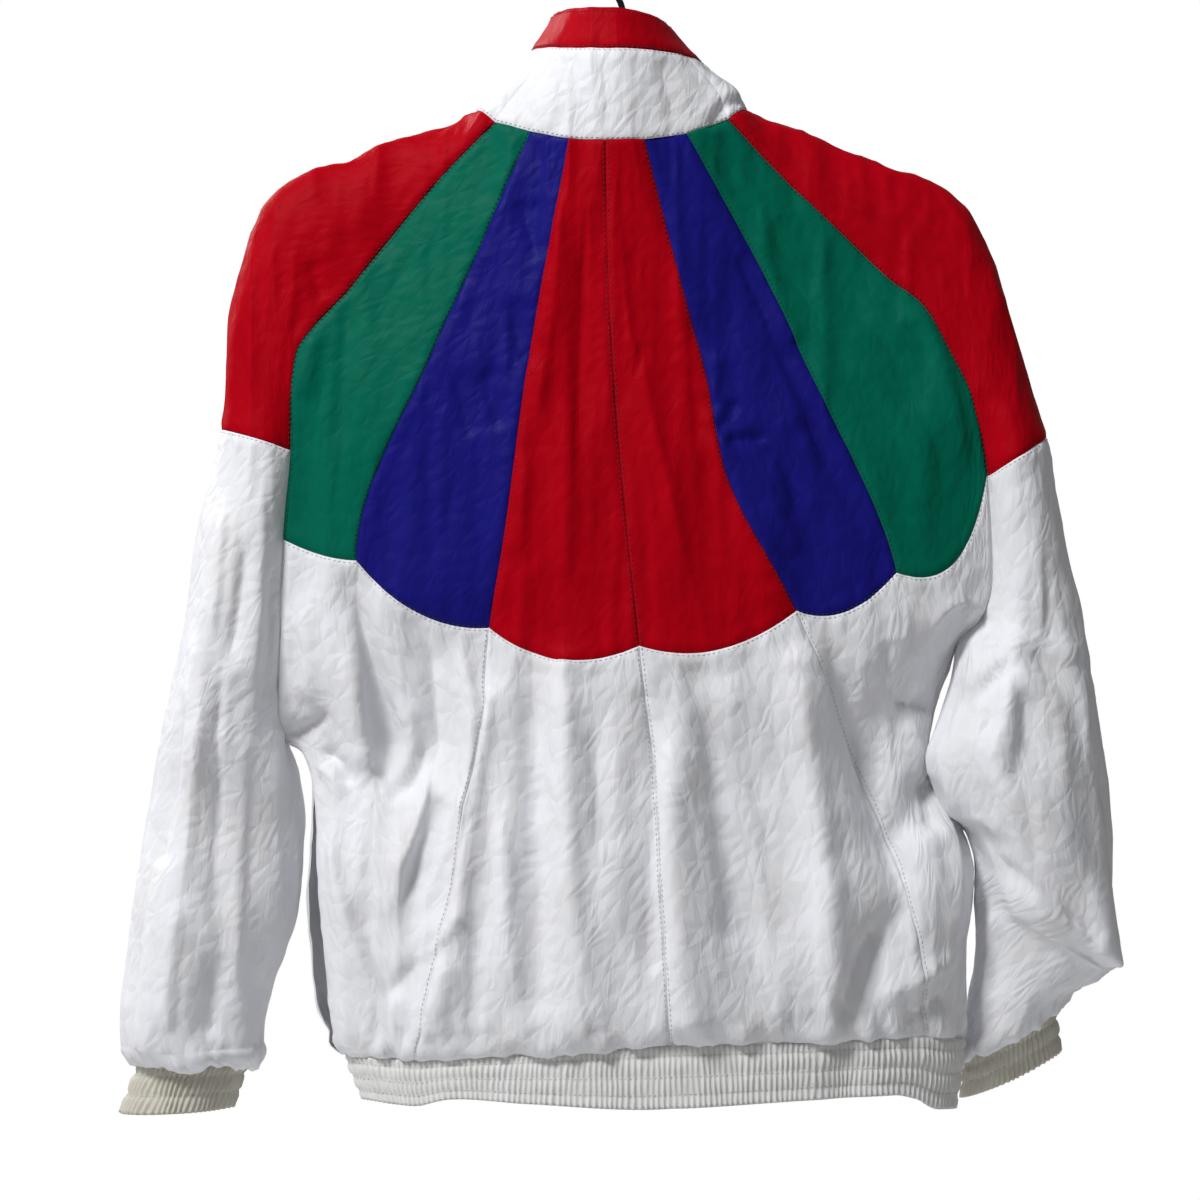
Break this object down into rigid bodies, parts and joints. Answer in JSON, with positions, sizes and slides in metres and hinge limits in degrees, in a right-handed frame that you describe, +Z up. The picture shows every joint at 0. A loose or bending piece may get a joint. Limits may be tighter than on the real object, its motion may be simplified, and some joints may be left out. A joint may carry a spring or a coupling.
{
  "type": "windbreaker jacket on a clothes hanger",
  "caption": "Hip-length raglan windbreaker with a colour-blocked fan yoke, funnel collar and shirred hem and cuffs, hung closed on a plain hanger.",
  "frame": {"origin": "inside top of the hanger's hook, where a rail carries it", "axes": "+Z up, -Y out of the jacket's front, +X to the wearer's left"},
  "size_m": [0.6648, 0.1811, 0.7933],
  "materials": {
    "white_nylon": "crinkled nylon with a soft sheen",
    "red_nylon": "crinkled nylon with a soft sheen",
    "blue_nylon": "crinkled nylon with a soft sheen",
    "green_nylon": "crinkled nylon with a soft sheen",
    "elastic_band": "shirred nylon over elastic",
    "zip_tape": "woven tape with moulded teeth",
    "zip_metal": "plain cast slider",
    "hanger_plastic": "plain moulded bar",
    "hook_wire": "coated wire"
  },
  "bodies": {
    "jacket": {"back_blue_left": "blue_nylon", "back_blue_right": "blue_nylon", "back_green_left": "green_nylon", "back_green_right": "green_nylon", "back_lower_left": "white_nylon", "back_lower_right": "white_nylon", "back_red_left": "red_nylon", "back_red_right": "red_nylon", "back_side_left": "white_nylon", "back_side_right": "white_nylon", "collar_lower": "white_nylon", "collar_upper": "red_nylon", "cuff_left": "elastic_band", "cuff_right": "elastic_band", "front_left": "white_nylon", "front_right": "white_nylon", "hanger": "hanger_plastic", "hanger_hook": "hook_wire", "hem_band": "elastic_band", "shoulder_red_left": "red_nylon", "shoulder_red_right": "red_nylon", "sleeve_left": "white_nylon", "sleeve_right": "white_nylon", "zip_slider": "zip_metal", "zip_tape_left": "zip_tape", "zip_tape_right": "zip_tape"},
    "zip_pull": {"zip_pull": "zip_metal"}
  },
  "joints": [
    {"name": "pull_swing", "type": "hinge", "parent": "jacket", "child": "zip_pull", "pos_m": [0.00398, -0.10286, -0.10914], "axis": [-0.9951, -0.0102, 0.0988], "range_deg": [0, 150]}
  ]
}
